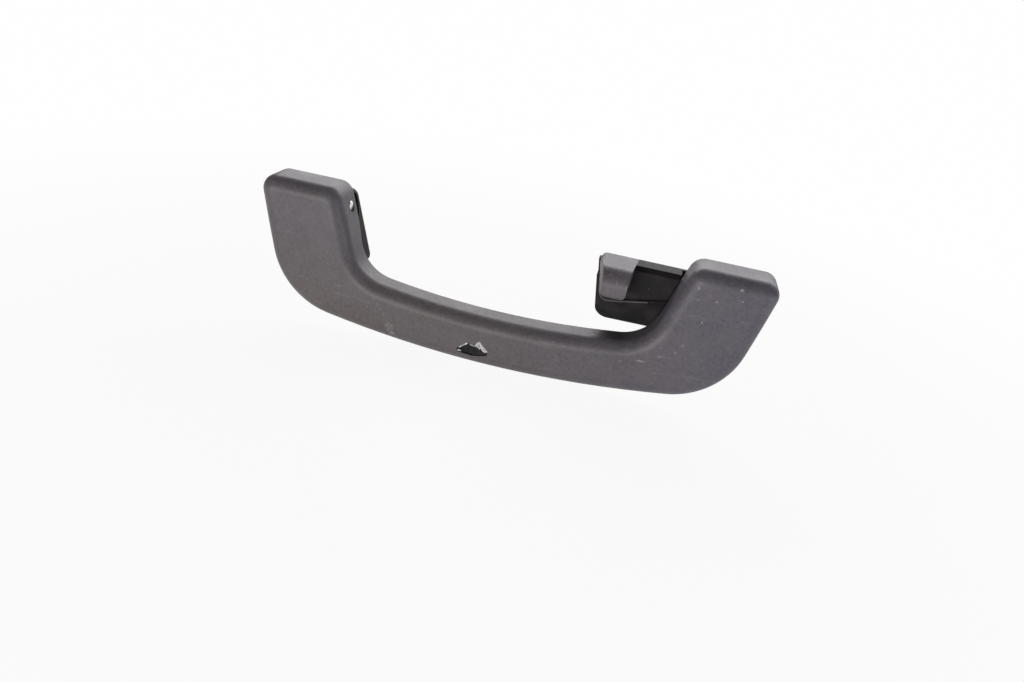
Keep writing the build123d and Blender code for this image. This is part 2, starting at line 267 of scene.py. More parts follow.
    @staticmethod
    def soften(piece: bpy.types.Object, width: float, segments: int = 3, angle: float = 28.0) -> None:
        """Break all sharp edges of a moulding with a small rounding.

        Args:
            piece: Object to change.
            width: Width of the rounding.
            segments: Number of faces across it.
            angle: Edges sharper than this many degrees are rounded.
        """
        Bench.take(piece)
        step = piece.modifiers.new("edges", "BEVEL")
        step.width = width
        step.segments = segments
        step.limit_method = "ANGLE"
        step.angle_limit = math.radians(angle)
        step.miter_outer = "MITER_ARC"
        step.use_clamp_overlap = True
        bpy.ops.object.modifier_apply(modifier=step.name)

    @staticmethod
    def smooth(piece: bpy.types.Object, angle: float = 35.0) -> None:
        """Shade curved faces smooth and keep flat faces flat."""
        Bench.take(piece)
        bpy.ops.object.shade_smooth_by_angle(angle=math.radians(angle))
        step = piece.modifiers.new("flat_faces", "WEIGHTED_NORMAL")
        step.mode = "FACE_AREA"
        step.weight = 60
        step.keep_sharp = True
        bpy.ops.object.modifier_apply(modifier=step.name)

    @staticmethod
    def hand_over(piece: bpy.types.Object, body: Body, slot: Slot, *nodes: str) -> None:
        """Tie a finished piece to its body and hide the CAD nodes it stands for.

        Args:
            piece: The finished piece.
            body: Body it rides on.
            slot: Material slot of the record; not used.
            *nodes: CAD nodes that it replaces.
        """
        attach(piece, body.value)
        if nodes:
            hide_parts(*nodes)
        LOG.info("%s rides on %s", piece.name, body.value)


class Graph:
    """Adds and joins shader nodes in one tree."""

    def __init__(self, tree: bpy.types.NodeTree) -> None:
        """Keep the tree that nodes go into."""
        self.tree = tree

    def add(self, kind: str, **inputs: object) -> bpy.types.Node:
        """Add a node and fill its inputs.

        Args:
            kind: Node type without the ShaderNode prefix.
            **inputs: Values or sockets by input name, spaces as underscores.

        Returns:
            The new node.
        """
        node = self.tree.nodes.new("ShaderNode" + kind)
        for key, value in inputs.items():
            self.fill(node.inputs[key.replace("_", " ")], value)
        return node

    def fill(self, socket: bpy.types.NodeSocket, value: object) -> None:
        """Set an input to a value, or link it to an output."""
        if isinstance(value, bpy.types.NodeSocket):
            self.tree.links.new(value, socket)
        else:
            socket.default_value = value

    def math(self, operation: str, first: object, second: object = 0.0) -> bpy.types.NodeSocket:
        """One arithmetic step.

        Args:
            operation: Name of the operation.
            first: First value or socket.
            second: Second value or socket.

        Returns:
            The result.
        """
        node = self.tree.nodes.new("ShaderNodeMath")
        node.operation = operation
        self.fill(node.inputs[0], first)
        self.fill(node.inputs[1], second)
        return node.outputs[0]

    def vector(self, operation: str, first: object, second: object) -> bpy.types.NodeSocket:
        """One vector step, with the vector or the length as its result."""
        node = self.tree.nodes.new("ShaderNodeVectorMath")
        node.operation = operation
        self.fill(node.inputs[0], first)
        self.fill(node.inputs[1], second)
        return node.outputs["Value" if operation in ("LENGTH", "DISTANCE") else "Vector"]

    def span(
        self, value: object, low: object, high: object, start: float = 0.0, end: float = 1.0
    ) -> bpy.types.NodeSocket:
        """Smooth step from one level to another.

        Args:
            value: Value or socket to map.
            low: Level at which the step starts.
            high: Level at which it ends.
            start: Result before the step.
            end: Result after it.

        Returns:
            The mapped value.
        """
        node = self.tree.nodes.new("ShaderNodeMapRange")
        node.interpolation_type = "SMOOTHSTEP"
        self.fill(node.inputs["Value"], value)
        self.fill(node.inputs["From Min"], low)
        self.fill(node.inputs["From Max"], high)
        node.inputs["To Min"].default_value = start
        node.inputs["To Max"].default_value = end
        return node.outputs["Result"]

    def blend(self, factor: object, first: object, second: object) -> bpy.types.NodeSocket:
        """Mix two colours, given as colours or sockets."""
        node = self.tree.nodes.new("ShaderNodeMix")
        node.data_type = "RGBA"
        self.fill(node.inputs["Factor"], factor)
        for name, value in (("A", first), ("B", second)):
            socket = [s for s in node.inputs if s.name == name and s.type == "RGBA"][0]
            self.fill(socket, value if isinstance(value, bpy.types.NodeSocket) else (*value, 1.0))
        return [s for s in node.outputs if s.type == "RGBA"][0]

    def cloud(
        self, place: object, scale: object, detail: float = 2.0, rough: float = 0.5
    ) -> bpy.types.NodeSocket:
        """Noise between 0 and 1.

        Args:
            place: Coordinates.
            scale: Waves per metre.
            detail: Number of finer layers.
            rough: Strength of the finer layers.

        Returns:
            The noise value.
        """
        node = self.add("TexNoise", Vector=place, Scale=scale, Detail=detail, Roughness=rough)
        return node.outputs["Fac"]

    def use(self, group: bpy.types.NodeTree, **inputs: object) -> bpy.types.Node:
        """Place a shared node group and fill its inputs."""
        node = self.tree.nodes.new("ShaderNodeGroup")
        node.node_tree = group
        for key, value in inputs.items():
            self.fill(node.inputs[key.replace("_", " ")], value)
        return node


class SharedEffects:
    """Shader node groups that several finishes use."""

    def __init__(self) -> None:
        """Build every group once."""
        self.grain = self._grain()
        self.patch = self._patch()
        self.scratches = self._scratches()
        self.specks = self._specks()

    @staticmethod
    def _open(
        name: str, inputs: dict[str, str], outputs: list[str]
    ) -> tuple[Graph, bpy.types.Node, bpy.types.Node]:
        """Start a group.

        Args:
            name: Name of the group.
            inputs: Socket kinds by input name.
            outputs: Names of its number outputs.

        Returns:
            The graph, its input node and its output node.
        """
        tree = bpy.data.node_groups.new(name, "ShaderNodeTree")
        for label, kind in inputs.items():
            tree.interface.new_socket(label, in_out="INPUT", socket_type="NodeSocket" + kind)
        for label in outputs:
            tree.interface.new_socket(label, in_out="OUTPUT", socket_type="NodeSocketFloat")
        return Graph(tree), tree.nodes.new("NodeGroupInput"), tree.nodes.new("NodeGroupOutput")

    def _grain(self) -> bpy.types.NodeTree:
        """Moulded or sprayed grain, as a height and a tone."""
        sockets = {"Vector": "Vector", "Scale": "Float"}
        graph, given, made = self._open("fine_grain", sockets, ["Height", "Tone"])
        place, scale = given.outputs["Vector"], given.outputs["Scale"]
        pebble = graph.add("TexVoronoi", Vector=place, Scale=scale)
        fine = graph.cloud(place, graph.math("MULTIPLY", scale, 1.7), 3.0, 0.6)
        coarse = graph.cloud(place, graph.math("MULTIPLY", scale, 0.33), 2.0, 0.6)
        height = graph.math("ADD", graph.math("MULTIPLY", pebble.outputs["Distance"], 0.6), fine)
        graph.fill(made.inputs["Height"], height)
        tone = graph.math("ADD", graph.math("MULTIPLY", fine, 0.5), graph.math("MULTIPLY", coarse, 0.5))
        graph.fill(made.inputs["Tone"], tone)
        return graph.tree

    def _patch(self) -> bpy.types.NodeTree:
        """A rubbed spot with a broken edge, at one place."""
        sockets = {"Vector": "Vector", "Centre": "Vector", "Reach": "Vector"}
        sockets |= {"Scale": "Float", "Cover": "Float"}
        graph, given, made = self._open("rubbed_spot", sockets, ["Mask"])
        offset = graph.vector("SUBTRACT", given.outputs["Vector"], given.outputs["Centre"])
        away = graph.vector("LENGTH", graph.vector("DIVIDE", offset, given.outputs["Reach"]), (0, 0, 0))
        inside = graph.span(away, 1.0, 0.35)
        broken = graph.cloud(given.outputs["Vector"], given.outputs["Scale"], 3.0, 0.65)
        level = graph.math("SUBTRACT", 1.0, graph.math("MULTIPLY", given.outputs["Cover"], inside))
        mask = graph.span(broken, graph.math("SUBTRACT", level, 0.04), graph.math("ADD", level, 0.04))
        graph.fill(made.inputs["Mask"], graph.math("MULTIPLY", mask, graph.span(away, 1.0, 0.8)))
        return graph.tree

    def _scratches(self) -> bpy.types.NodeTree:
        """Fine straight scratches in one direction."""
        sockets = {"Vector": "Vector", "Scale": "Float", "Cover": "Float"}
        graph, given, made = self._open("fine_scratches", sockets, ["Mask"])
        lines = graph.cloud(given.outputs["Vector"], given.outputs["Scale"], 2.0, 0.5)
        ridge = graph.math("ABSOLUTE", graph.math("SUBTRACT", lines, 0.5))
        thin = graph.span(ridge, 0.012, 0.0)
        here = graph.cloud(given.outputs["Vector"], graph.math("MULTIPLY", given.outputs["Scale"], 0.6), 1.0)
        level = graph.math("SUBTRACT", 1.0, given.outputs["Cover"])
        some = graph.span(here, level, graph.math("ADD", level, 0.1))
        graph.fill(made.inputs["Mask"], graph.math("MULTIPLY", thin, some))
        return graph.tree

    def _specks(self) -> bpy.types.NodeTree:
        """Scattered pale dust specks."""
        sockets = {"Vector": "Vector", "Scale": "Float", "Cover": "Float"}
        graph, given, made = self._open("dust_specks", sockets, ["Mask"])
        cells = graph.add("TexVoronoi", Vector=given.outputs["Vector"], Scale=given.outputs["Scale"])
        dot = graph.span(cells.outputs["Distance"], 0.2, 0.08)
        chance = graph.add("SeparateColor", Color=cells.outputs["Color"])
        level = graph.math("SUBTRACT", 1.0, given.outputs["Cover"])
        picked = graph.math("GREATER_THAN", chance.outputs["Red"], level)
        graph.fill(made.inputs["Mask"], graph.math("MULTIPLY", dot, picked))
        return graph.tree


@dataclass(frozen=True)
class RubMark:
    """One rubbed spot on a painted face.

    Attributes:
        centre: Middle of the spot in millimetres.
        reach: Half sizes in millimetres.
        scale: Waves per metre of its broken edge.
        cover: How much of it is rubbed through.
        strength: How pale it is.
    """

    centre: Place
    reach: Place
    scale: float = 3200.0
    cover: float = 0.47
    strength: float = 0.5


@dataclass(frozen=True)
class PaintFinish:
    """Charcoal soft-touch paint with rubbed spots, dust and painted light at its two ends.

    Attributes:
        colour: Paint colour.
        warm_light_tint: Painted yellowish light at the lower left end.
        cool_light_tint: Painted bluish reflection at the right end.
        pale: Colour of the rubbed spots.
        roughness: Mean roughness.
        grain_scale: Grains per metre.
        streak: Strength of upright rub streaks.
        marks: Rubbed spots.
    """

    colour: Colour = (0.104, 0.0945, 0.102)
    warm_light_tint: Colour = (1.09, 1.02, 0.95)
    cool_light_tint: Colour = (0.95, 0.96, 1.1)
    pale: Colour = (0.52, 0.5, 0.49)
    roughness: float = 0.5
    grain_scale: float = 1900.0
    streak: float = 0.0
    marks: tuple[RubMark, ...] = ()

    def material(self, name: str, shared: SharedEffects) -> bpy.types.Material:
        """Build the material.

        Args:
            name: Name of the material.
            shared: Node groups.

        Returns:
            The new material.
        """
        made = bpy.data.materials.new(name)
        made.use_nodes = True
        graph = Graph(made.node_tree)
        shader = made.node_tree.nodes["Principled BSDF"]
        place = graph.add("TexCoord").outputs["Object"]
        grain = graph.use(shared.grain, Vector=place, Scale=self.grain_scale)
        tone = graph.span(grain.outputs["Tone"], 0.3, 0.7)
        dark = tuple(0.72 * c for c in self.colour)
        light = tuple(1.28 * c for c in self.colour)
        colour = graph.blend(tone, dark, light)
        # Painted light: yellowish at the lower left and a bluish reflection at the right, multiplied into the
        # paint colour.
        apart = graph.add("SeparateXYZ", Vector=place)
        low = graph.span(apart.outputs["Z"], 0.005, -0.03)
        left = graph.math("MULTIPLY", low, graph.span(apart.outputs["X"], 0.05, -0.05))
        right = graph.span(apart.outputs["X"], 0.03, 0.11)
        painted_light_tint = graph.blend(left, graph.blend(right, (1.0, 1.0, 1.0), self.cool_light_tint), self.warm_light_tint)
        mixed = graph.add("MixRGB", Fac=1.0, Color1=colour, Color2=painted_light_tint)
        mixed.blend_type = "MULTIPLY"
        colour = mixed.outputs["Color"]
        cloudy = graph.span(graph.cloud(place, 55.0, 3.0, 0.6), 0.42, 0.72)
        dusty = tuple(1.16 * c + 0.012 for c in self.colour)
        colour = graph.blend(graph.math("MULTIPLY", cloudy, 0.5), colour, dusty)
        stretched = graph.add("Mapping", Vector=place, Rotation=(0.0, 0.9, 0.0), Scale=(0.12, 1.0, 1.0))
        lines = graph.use(shared.scratches, Vector=stretched.outputs["Vector"], Scale=240.0, Cover=0.5)
        worn = graph.math("MULTIPLY", lines.outputs["Mask"], 0.12)
        dust = graph.use(shared.specks, Vector=place, Scale=420.0, Cover=0.12)
        worn = graph.math("MAXIMUM", worn, graph.math("MULTIPLY", dust.outputs["Mask"], 0.2))
        if self.streak > 0:
            upright = graph.add("Mapping", Vector=place, Scale=(1.0, 1.0, 0.08)).outputs["Vector"]
            brushed = graph.span(graph.cloud(upright, 900.0, 2.0, 0.6), 0.5, 0.7)
            worn = graph.math("MAXIMUM", worn, graph.math("MULTIPLY", brushed, self.streak))
        for mark in self.marks:
            spot = graph.use(
                shared.patch,
                Vector=place,
                Centre=Vector(mark.centre) * MM,
                Reach=Vector(mark.reach) * MM,
                Scale=mark.scale,
                Cover=mark.cover,
            )
            worn = graph.math("MAXIMUM", worn, graph.math("MULTIPLY", spot.outputs["Mask"], mark.strength))
        graph.fill(shader.inputs["Base Color"], graph.blend(worn, colour, self.pale))
        rough = graph.span(grain.outputs["Tone"], 0.3, 0.7, self.roughness - 0.05, self.roughness + 0.05)
        rough = graph.math("SUBTRACT", rough, graph.math("MULTIPLY", cloudy, 0.05))
        graph.fill(shader.inputs["Roughness"], graph.math("ADD", rough, graph.math("MULTIPLY", worn, 0.2)))
        height = graph.math("SUBTRACT", grain.outputs["Height"], graph.math("MULTIPLY", worn, 0.8))
        bump = graph.add("Bump", Height=height, Strength=0.22, Distance=0.12 * MM)
        graph.fill(shader.inputs["Normal"], bump.outputs["Normal"])
        return made


@dataclass(frozen=True)
class MouldedFinish:
    """Bare moulded plastic or rubber with an eroded grain.

    Attributes:
        colour: Colour of the plastic.
        roughness: Mean roughness.
        grain_scale: Grains per metre.
        grain_depth: Depth of the grain in millimetres.
        dust: Share of the surface with dust specks.
        shine: Strength of its surface reflection.
        mottle: Strength of dark spots in it.
    """

    colour: Colour
    roughness: float = 0.5
    grain_scale: float = 1500.0
    grain_depth: float = 0.1
    dust: float = 0.08
    shine: float = 0.5
    mottle: float = 0.0

    def material(self, name: str, shared: SharedEffects) -> bpy.types.Material:
        """Build the material.

        Args:
            name: Name of the material.
            shared: Node groups.

        Returns:
            The new material.
        """
        made = bpy.data.materials.new(name)
        made.use_nodes = True
        graph = Graph(made.node_tree)
        shader = made.node_tree.nodes["Principled BSDF"]
        place = graph.add("TexCoord").outputs["Object"]
        shader.inputs["Specular IOR Level"].default_value = self.shine
        grain = graph.use(shared.grain, Vector=place, Scale=self.grain_scale)
        tone = graph.span(grain.outputs["Tone"], 0.3, 0.7)
        dark = tuple(0.75 * c for c in self.colour)
        light = tuple(1.3 * c for c in self.colour)
        colour = graph.blend(tone, dark, light)
        spots = graph.span(graph.cloud(place, 1500.0, 3.0, 0.7), 0.46, 0.56)
        black = tuple(0.08 * c for c in self.colour)
        colour = graph.blend(graph.math("MULTIPLY", spots, self.mottle), colour, black)
        dust = graph.use(shared.specks, Vector=place, Scale=600.0, Cover=self.dust)
        film = graph.math("MULTIPLY", graph.span(graph.cloud(place, 90.0, 3.0), 0.45, 0.75), 0.05)
        pale = graph.math("MAXIMUM", graph.math("MULTIPLY", dust.outputs["Mask"], 0.22), film)
        graph.fill(shader.inputs["Base Color"], graph.blend(pale, colour, (0.42, 0.4, 0.38)))
        rough = graph.span(grain.outputs["Tone"], 0.3, 0.7, self.roughness - 0.06, self.roughness + 0.06)
        graph.fill(shader.inputs["Roughness"], graph.math("ADD", rough, graph.math("MULTIPLY", pale, 0.3)))
        bump = graph.add("Bump", Height=grain.outputs["Height"], Strength=0.3, Distance=self.grain_depth * MM)
        graph.fill(shader.inputs["Normal"], bump.outputs["Normal"])
        return made


@dataclass(frozen=True)
class SteelFinish:
    """Ground or plated steel with fine tool marks.

    Attributes:
        colour: Colour of the metal.
        roughness: Mean roughness.
        stretch: Mapping scale that draws the marks out.
    """

    colour: Colour
    roughness: float = 0.3
    stretch: Place = (0.2, 1.0, 1.0)

    def material(self, name: str, shared: SharedEffects) -> bpy.types.Material:
        """Build the material.

        Args:
            name: Name of the material.
            shared: Node groups.

        Returns:
            The new material.
        """
        made = bpy.data.materials.new(name)
        made.use_nodes = True
        graph = Graph(made.node_tree)
        shader = made.node_tree.nodes["Principled BSDF"]
        shader.inputs["Metallic"].default_value = 1.0
        place = graph.add("TexCoord").outputs["Object"]
        drawn = graph.add("Mapping", Vector=place, Scale=self.stretch).outputs["Vector"]
        lines = graph.use(shared.scratches, Vector=drawn, Scale=2600.0, Cover=0.7)
        stain = graph.span(graph.cloud(place, 320.0, 3.0, 0.6), 0.4, 0.75)
        dull = tuple(0.72 * c for c in self.colour)
        colour = graph.blend(stain, self.colour, dull)
        graph.fill(shader.inputs["Base Color"], graph.blend(lines.outputs["Mask"], colour, dull))
        rough = graph.math("ADD", self.roughness, graph.math("MULTIPLY", stain, 0.12))
        scored = graph.math("MULTIPLY", lines.outputs["Mask"], 0.15)
        graph.fill(shader.inputs["Roughness"], graph.math("ADD", rough, scored))
        bump = graph.add("Bump", Height=lines.outputs["Mask"], Strength=0.1, Distance=0.05 * MM)
        graph.fill(shader.inputs["Normal"], bump.outputs["Normal"])
        return made


def dress(piece: bpy.types.Object, finish: bpy.types.Material) -> None:
    """Give a piece or CAD node one material."""
    if piece.data.materials:
        for slot in piece.material_slots:
            slot.material = finish
    else:
        piece.data.materials.append(finish)


@dataclass
class TornChip:
    """The knocked-out place on the grip: a ragged hollow, lifted skin and crumpled flakes.

    Attributes:
        hollow: Corners of the hollow as X and Z, in millimetres.
        dent: Corners of the shallow dent beside it.
        depth: Depth of the hollow.
        dent_depth: Depth of the dent.
        skin: Thickness of the lifted skin.
        seed: Fixed start of the noise.
        ragged: Unevenness of the skin's edges in millimetres.
        crumple: Height of its folds in millimetres.
        roughness: Unevenness of the hollow's floor, as a share of its depth.
        sheets: Four corners of each piece of skin, as X, Z and depth in millimetres.
        piece: The finished skin.
    """

    hollow: tuple[tuple[float, float], ...] = (
        (-16.4, -37.9), (-15.3, -36.9), (-13.5, -35.5), (-11.9, -34.0), (-11.4, -33.3), (-10.7, -34.5),
        (-9.2, -34.6), (-7.6, -35.4), (-6.1, -35.6), (-4.5, -36.7), (-1.9, -37.2), (-1.0, -38.3),
        (-4.5, -39.4), (-8.4, -40.3), (-11.9, -40.0), (-14.6, -39.9), (-16.0, -39.2),
    )
    dent: tuple[tuple[float, float], ...] = (
        (-8.2, -34.6), (-7.1, -33.1), (-6.1, -31.8), (-4.8, -32.7), (-3.9, -34.2), (-2.7, -34.9),
        (-1.2, -36.4), (-1.7, -37.4), (-4.0, -37.0), (-6.0, -36.0),
    )
    depth: float = 1.15 * MM
    dent_depth: float = 0.4 * MM
    skin: float = 0.16 * MM
    seed: int = 7
    ragged: float = 0.22
    crumple: float = 0.3
    roughness: float = 0.8
    sheets: tuple[tuple[Place, Place, Place, Place], ...] = (
        ((-15.9, -36.9, 0.1), (-11.7, -33.3, 0.1), (-11.4, -34.6, 0.3), (-15.2, -37.7, 0.3)),
        ((-10.9, -34.1, 0.1), (-8.0, -34.4, 0.1), (-7.6, -35.5, 0.35), (-10.2, -35.1, 0.35)),
        ((-8.3, -34.9, 0.15), (-6.2, -31.9, 0.1), (-4.7, -32.9, 0.1), (-5.9, -35.7, 0.3)),
        ((-6.4, -35.4, 0.3), (-4.9, -33.0, 0.1), (-2.7, -35.1, 0.1), (-3.9, -36.8, 0.3)),
        ((-4.3, -36.5, 0.3), (-2.9, -34.9, 0.15), (-1.3, -36.4, 0.1), (-2.3, -37.3, 0.35)),
        ((-15.9, -38.6, 0.25), (-14.2, -38.6, 0.4), (-13.9, -39.4, 0.4), (-15.6, -39.5, 0.25)),
    )
    piece: Optional[bpy.types.Object] = field(default=None, init=False)

    def _tool(self, corners: tuple[tuple[float, float], ...], front: float, depth: float) -> bpy.types.Object:
        """Cutting shape with an uneven floor.

        Args:
            corners: Its outline as X and Z, in millimetres.
            front: Depth of the handle's front face.
            depth: How deep it cuts.

        Returns:
            The closed cutting shape.
        """
        tool = Bench.polygon("chip_tool", [Vector((x * MM, front - MM, z * MM)) for x, z in corners])
        Bench.extrude(tool, Vector((0, depth + MM, 0)))
        floor_y = front + depth
        Bench.take(tool)
        bpy.ops.object.mode_set(mode="EDIT")
        bpy.ops.mesh.select_mode(type="FACE")
        bpy.ops.mesh.select_all(action="DESELECT")
        bpy.ops.object.mode_set(mode="OBJECT")
        for face in tool.data.polygons:
            face.select = abs(face.center.y - floor_y) < 1e-6
        bpy.ops.object.mode_set(mode="EDIT")
        bpy.ops.mesh.quads_convert_to_tris(ngon_method="BEAUTY")
        bpy.ops.mesh.subdivide(number_cuts=3)
        bpy.ops.object.mode_set(mode="OBJECT")
        for vertex in tool.data.vertices:
            if abs(vertex.co.y - floor_y) < 1e-6:
                vertex.co.y += self.roughness * depth * min(noise.noise(vertex.co * 900.0), 0.0)
        Bench.slots(tool, 2)
        for face in tool.data.polygons:
            face.material_index = 1
        return tool

    def cut(self, piece: bpy.types.Object, front: float) -> None:
        """Take the hollow and the dent out of the shell."""
        Bench.cut(piece, self._tool(self.hollow, front, self.depth))
        Bench.cut(piece, self._tool(self.dent, front, self.dent_depth))

    def build(self, front: float) -> None:
        """Model the lifted skin from crumpled sheets."""
        noise.seed_set(self.seed)
        parts = []
        for corners in self.sheets:
            Bench.clear()
            bpy.ops.mesh.primitive_grid_add(x_subdivisions=9, y_subdivisions=6, size=2.0)
            sheet = bpy.context.object
            a, b, c, d = (Vector((x, y, z)) for x, z, y in corners)
            for vertex in sheet.data.vertices:
                u, v = (vertex.co.x + 1) / 2, (vertex.co.y + 1) / 2
                place = a.lerp(b, u).lerp(d.lerp(c, u), v)
                shift = self.ragged * noise.noise_vector(place * 1.3)
                depth = max(place.y + self.crumple * noise.noise(place * 2.1), 0.02)
                vertex.co = Vector((place.x + shift.x, depth, place.z + shift.z)) * MM
                vertex.co.y += front
            Bench.take(sheet)
            step = sheet.modifiers.new("skin", "SOLIDIFY")
            step.thickness = self.skin
            step.offset = -1.0 if sheet.data.polygons[0].normal.y < 0 else 1.0
            bpy.ops.object.modifier_apply(modifier=step.name)
            parts.append(sheet)
        Bench.take(parts[0])
        for sheet in parts[1:]:
            sheet.select_set(True)
        bpy.ops.object.join()
        self.piece = parts[0]
        self.piece.name = "torn_skin"
        Bench.settle(self.piece)
        Bench.smooth(self.piece, 50.0)
        Bench.hand_over(self.piece, Body.SWING, Slot.PAINT)


@dataclass
class Handle:
    """The swinging grip with its two hollow hinge arms.

    Attributes:
        front_round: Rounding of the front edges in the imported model.
        soft_round: Rounding of the front edges under the paint.
        back_round: Rounding of the back edges.
        back_lean: Slope of the back face towards the grip.
        arm_off_wall: Gap behind the top of the arms.
        shell: Wall of the hollow arms.
        pocket: Corners of the right arm's hollow, from the front.
        pin_start: Inner end of the right pin's bore.
        pin_end: Outer end of the right pin's bore.
        pin_radius: Radius of the pins.
        pin_axis: Y and Z of the pins.
        chip: The knocked-out place on the grip.
        shell_piece: The finished shell.
    """

    front_round: float = 6.0 * MM
    soft_round: float = 6.45 * MM
    back_round: float = 2.2 * MM
    back_lean: float = 0.107
    arm_off_wall: float = 6.5 * MM
    shell: float = 3.2 * MM
    pocket: tuple[tuple[float, float], ...] = (
        (0.084278, 0.0218),
        (0.116586, 0.0218),
        (0.11061, -0.005),
        (0.07656, -0.005),
    )
    pin_start: float = 75.52 * MM
    pin_end: float = 116.67 * MM
    pin_radius: float = 2.5 * MM
    pin_axis: tuple[float, float] = (-14.0 * MM, 15.0 * MM)
    chip: TornChip = field(default_factory=TornChip)
    shell_piece: Optional[bpy.types.Object] = field(default=None, init=False)

    def outline(self) -> list[Vector]:
        """Read the front outline from the CAD handle.

        Returns:
            The outline's points in order, on the front plane.
        """
        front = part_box("handle")[0][1]
        depth = front + self.front_round
        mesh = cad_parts["handle"].data
        places = [v.co for v in mesh.vertices]
        keys = [(round(p.x, 6), round(p.z, 6)) if abs(p.y - depth) < 2e-6 else None for p in places]
        beside: dict[tuple[float, float], set[tuple[float, float]]] = {}
        for edge in mesh.edges:
            first, second = (keys[i] for i in edge.vertices)
            if first and second and first != second:
                beside.setdefault(first, set()).add(second)
                beside.setdefault(second, set()).add(first)
        start = min(beside)
        walk = [start]
        last, here = None, start
        while True:
            onward = [k for k in beside[here] if k != last]
            last, here = here, onward[0]
            if here == start:
                break
            walk.append(here)
        return [Vector((x, front, z)) for x, z in walk]

    def build(self) -> None:
        """Model the shell: outline, depth, roundings, leaning back, hollows and bores."""
        points = self.outline()
        front = points[0].y
        top = max(p.z for p in points)
        piece = Bench.polygon("handle_shell", points)
        Bench.extrude(piece, Vector((0, -front + 2 * MM, 0)))

        def on_front(p: Vector) -> bool:
            """Whether a point lies on the front face."""
            return abs(p.y - front) < 1e-6

        Bench.bevel(piece, lambda a, b: on_front(a) and on_front(b), self.soft_round, 14)
        normal = Vector((0, 1, -self.back_lean)).normalized()
        point = Vector((0, -self.arm_off_wall, top))
        Bench.take(piece)
        bpy.ops.object.mode_set(mode="EDIT")
        bpy.ops.mesh.select_all(action="SELECT")
        bpy.ops.mesh.bisect(plane_co=point, plane_no=normal, use_fill=True, clear_outer=True)
        bpy.ops.mesh.select_all(action="SELECT")
        bpy.ops.mesh.normals_make_consistent(inside=False)
        bpy.ops.object.mode_set(mode="OBJECT")

        def on_back(p: Vector) -> bool:
            """Whether a point lies on the leaning back face."""
            return abs((p - point).dot(normal)) < 2e-6

        Bench.bevel(piece, lambda a, b: on_back(a) and on_back(b), self.back_round, 8)
        for side in Side:
            Bench.cut(piece, self._pocket_tool(side, front))
            Bench.cut(piece, self._bore_tool(side))
        Bench.slots(piece, 2)
        self.chip.cut(piece, front)
        Bench.smooth(piece)
        self.chip.build(front)
        self.shell_piece = piece
        Bench.hand_over(piece, Body.SWING, Slot.PAINT, "handle")

    def _pocket_tool(self, side: Side, front: float) -> bpy.types.Object:
        """Shape of one arm's hollow.

        Args:
            side: Which arm.
            front: Depth of the handle's front face.

        Returns:
            The closed cutting shape.
        """
        points = [Vector((side.value * x, 5 * MM, z)) for x, z in self.pocket]
        tool = Bench.polygon("pocket_tool", points)
        Bench.extrude(tool, Vector((0, front + self.shell - 5 * MM, 0)))
        Bench.bevel(tool, lambda a, b: abs(a.y - b.y) > 10 * MM, 3.0 * MM, 6)
        return tool

    def _bore_tool(self, side: Side) -> bpy.types.Object:
        """Shape of one pin bore through both cheeks."""
        length = self.pin_end - self.pin_start
        start = self.pin_start if side is Side.RIGHT else -self.pin_end
        return Bench.rod("bore_tool", (start, *self.pin_axis), length, self.pin_radius)

    def dress(self, paint: bpy.types.Material, torn: bpy.types.Material, skin: bpy.types.Material) -> None:
        """Paint the shell and colour the torn place.

        Args:
            paint: Finish of the shell.
            torn: Finish of the bare plastic in the hollow.
            skin: Finish of the lifted skin; its near-white colour is partly the pale torn flakes and partly a
                painted highlight on the lifted flap.
        """
        self.shell_piece.data.materials[0] = paint
        self.shell_piece.data.materials[1] = torn
        dress(self.chip.piece, skin)


@dataclass
class HingeBrackets:
    """The two black hinge brackets, with their edges broken.

    Attributes:
        edge: Width of the broken edges.
        lip: Path of the bead round the tray, as X and Z in millimetres; the bead's lighter grey is a painted
            highlight along the tray's bevel edge.
        lip_y: Its depth in millimetres.
        lip_bead: Radius of the bead.
        pieces: The finished mouldings.
        bead: The finished bead.
    """

    edge: float = 0.35 * MM
    lip: tuple[tuple[float, float], ...] = (
        (42.2, 7.0), (42.6, 4.0), (43.2, 0.6), (44.0, -1.6), (45.2, -2.8),
        (47.0, -3.3), (52.0, -2.75), (60.0, -1.2), (66.0, 0.0),
    )
    lip_y: float = -12.45
    lip_bead: float = 0.28 * MM
    pieces: list[bpy.types.Object] = field(default_factory=list, init=False)
    bead: Optional[bpy.types.Object] = field(default=None, init=False)

    def build(self) -> None:
        """Model both brackets from the CAD nodes, and the bead round the tray that carries a painted edge
        highlight.
        """
        # Pale bead along the tray's bevel edge: a painted edge highlight.
        path = [Vector((x, self.lip_y, z)) * MM for x, z in self.lip]
        self.bead = Bench.wire("tray_highlight_bead", path, self.lip_bead, 3)
        Bench.smooth(self.bead, 60.0)
        Bench.hand_over(self.bead, Body.BASE, Slot.BRACKET)
        for node in ("left_hinge_bracket", "right_hinge_bracket"):
            piece = Bench.cad_copy(node, node.replace("hinge_bracket", "bracket_moulding"))
            Bench.soften(piece, self.edge, 2, 30.0)
            Bench.smooth(piece)
            Bench.hand_over(piece, Body.BASE, Slot.BRACKET, node)
            self.pieces.append(piece)

    def dress(self, plastic: bpy.types.Material, edge_highlight: bpy.types.Material) -> None:
        """Give both brackets their bare plastic and the bead a lighter grey, a painted highlight along the
        tray's edge.
        """
        for piece in self.pieces:
            dress(piece, plastic)
        dress(self.bead, edge_highlight)


